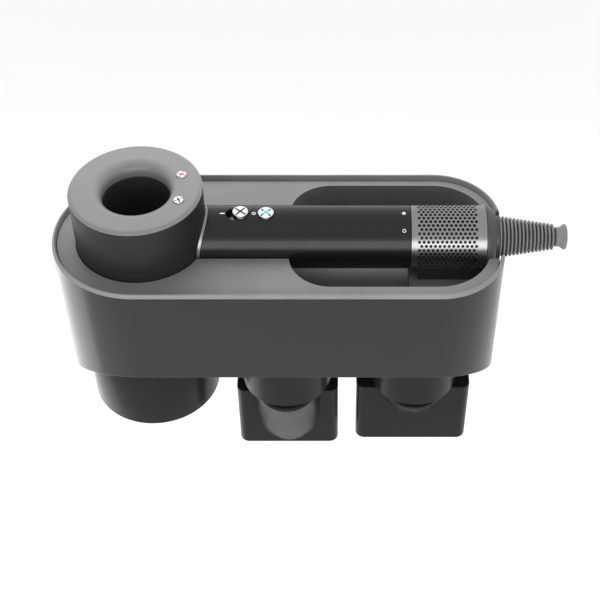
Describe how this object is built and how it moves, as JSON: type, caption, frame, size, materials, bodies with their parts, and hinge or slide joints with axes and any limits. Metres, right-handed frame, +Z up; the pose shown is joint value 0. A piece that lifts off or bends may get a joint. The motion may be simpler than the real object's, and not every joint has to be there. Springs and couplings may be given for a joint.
{
  "type": "wall-mounted hair dryer styling station",
  "caption": "Wall-hung holder with a recessed tray that carries a hollow-headed hair dryer, with a diffuser and two flat nozzles hanging from its underside.",
  "frame": {"origin": "centre of the adhesive pad face that sticks to the wall", "axes": "+X along the holder towards the cord end, +Y into the wall, +Z up"},
  "size_m": [0.3076, 0.1128, 0.1986],
  "materials": {
    "shell_grey": "satin moulded",
    "tray_grey": "fine satin",
    "face_grey": "fine satin metallic paint",
    "head_grey": "satin",
    "handle_grey": "soft satin gloss",
    "bore_grey": "dark gloss",
    "cap_grey": "satin",
    "cage_metal": "brushed along its length, perforated",
    "bright_metal": "bright",
    "steel": "plain",
    "aluminium": "machined",
    "rubber": "matte",
    "relief_grey": "matte ribbed",
    "board": "lacquered board",
    "ceramic": "matte",
    "nozzle_grey": "satin",
    "foam": "closed-cell foam"
  },
  "bodies": {
    "holder": {"holder_shell": "shell_grey", "top_tray": "tray_grey", "base_plate": "shell_grey", "head_pad": "rubber", "cradle_pad": "rubber", "wall_plate": "steel", "adhesive_pad": "foam", "base_screw_1": "steel", "base_screw_2": "steel", "base_screw_3": "steel", "base_screw_4": "steel", "plate_screw_1": "steel", "plate_screw_2": "steel", "plate_screw_3": "steel", "plate_screw_4": "steel", "dock_magnet_left": "steel", "dock_magnet_middle": "steel", "dock_magnet_right": "steel"},
    "dryer": {"head_shell": "head_grey", "head_face": "face_grey", "inner_tube": "bore_grey", "outlet_ring": "bore_grey", "nozzle_magnet": "steel", "heater_ring": "ceramic", "button_board": "board", "neck_collar": "bright_metal", "handle_tube": "handle_grey", "slider_track": "steel", "main_board": "board", "motor_mount": "rubber", "motor_stator": "steel", "inlet_guide": "handle_grey", "cord_gland": "cap_grey", "strain_relief": "relief_grey"},
    "heat_button": {"heat_button": "bright_metal"},
    "speed_button": {"speed_button": "bright_metal"},
    "power_slider": {"power_slider": "bright_metal"},
    "cool_button": {"cool_button": "bright_metal"},
    "rotor": {"motor_rotor": "aluminium"},
    "filter_mesh": {"mesh_screen": "steel"},
    "filter_cage": {"filter_cage": "cage_metal", "cage_end_cap": "cap_grey"},
    "diffuser_hanger": {"diffuser_ring": "steel"},
    "diffuser": {"diffuser_shell": "nozzle_grey", "diffuser_grille": "rubber"},
    "slim_nozzle_hanger": {"slim_nozzle_ring": "steel"},
    "slim_nozzle": {"slim_nozzle_shell": "nozzle_grey", "slim_nozzle_outlet": "bore_grey"},
    "wide_nozzle_hanger": {"wide_nozzle_ring": "steel"},
    "wide_nozzle": {"wide_nozzle_shell": "nozzle_grey", "wide_nozzle_outlet": "bore_grey"}
  },
  "joints": [
    {"name": "dryer_lift", "type": "slide", "parent": "holder", "child": "dryer", "axis": [0, 0, 1], "range_m": [0, 0.075]},
    {"name": "power_slide", "type": "slide", "parent": "dryer", "child": "power_slider", "axis": [-1, 0, 0], "range_m": [0, 0.0036]},
    {"name": "cool_press", "type": "slide", "parent": "dryer", "child": "cool_button", "axis": [0, 0, -1], "range_m": [0, 0.0009], "stiffness_N_per_m": 500, "springref_m": -0.0003},
    {"name": "heat_press", "type": "slide", "parent": "dryer", "child": "heat_button", "axis": [0, 0, -1], "range_m": [0, 0.0008], "stiffness_N_per_m": 500, "springref_m": -0.0003},
    {"name": "speed_press", "type": "slide", "parent": "dryer", "child": "speed_button", "axis": [0, 0, -1], "range_m": [0, 0.0008], "stiffness_N_per_m": 500, "springref_m": -0.0003},
    {"name": "rotor_spin", "type": "hinge", "parent": "dryer", "child": "rotor", "pos_m": [0.04845, -0.0582, 0.07218], "axis": [1, 0, 0], "continuous": true},
    {"name": "cage_pull", "type": "slide", "parent": "dryer", "child": "filter_mesh", "axis": [1, 0, 0], "range_m": [0, 0.05]},
    {"name": "cage_twist", "type": "hinge", "parent": "filter_mesh", "child": "filter_cage", "pos_m": [0.10145, -0.0582, 0.07218], "axis": [1, 0, 0], "range_deg": [0, 36]},
    {"name": "diffuser_pull", "type": "slide", "parent": "holder", "child": "diffuser_hanger", "axis": [0, 0, -1], "range_m": [0, 0.06]},
    {"name": "diffuser_spin", "type": "hinge", "parent": "diffuser_hanger", "child": "diffuser", "pos_m": [-0.08415, -0.0582, -0.02632], "axis": [0, 0, 1], "continuous": true},
    {"name": "slim_nozzle_pull", "type": "slide", "parent": "holder", "child": "slim_nozzle_hanger", "axis": [0, 0, -1], "range_m": [0, 0.06]},
    {"name": "slim_nozzle_spin", "type": "hinge", "parent": "slim_nozzle_hanger", "child": "slim_nozzle", "pos_m": [0.00375, -0.0822, -0.02632], "axis": [0, 0, 1], "continuous": true},
    {"name": "wide_nozzle_pull", "type": "slide", "parent": "holder", "child": "wide_nozzle_hanger", "axis": [0, 0, -1], "range_m": [0, 0.06]},
    {"name": "wide_nozzle_spin", "type": "hinge", "parent": "wide_nozzle_hanger", "child": "wide_nozzle", "pos_m": [0.08445, -0.0822, -0.02632], "axis": [0, 0, 1], "continuous": true}
  ]
}
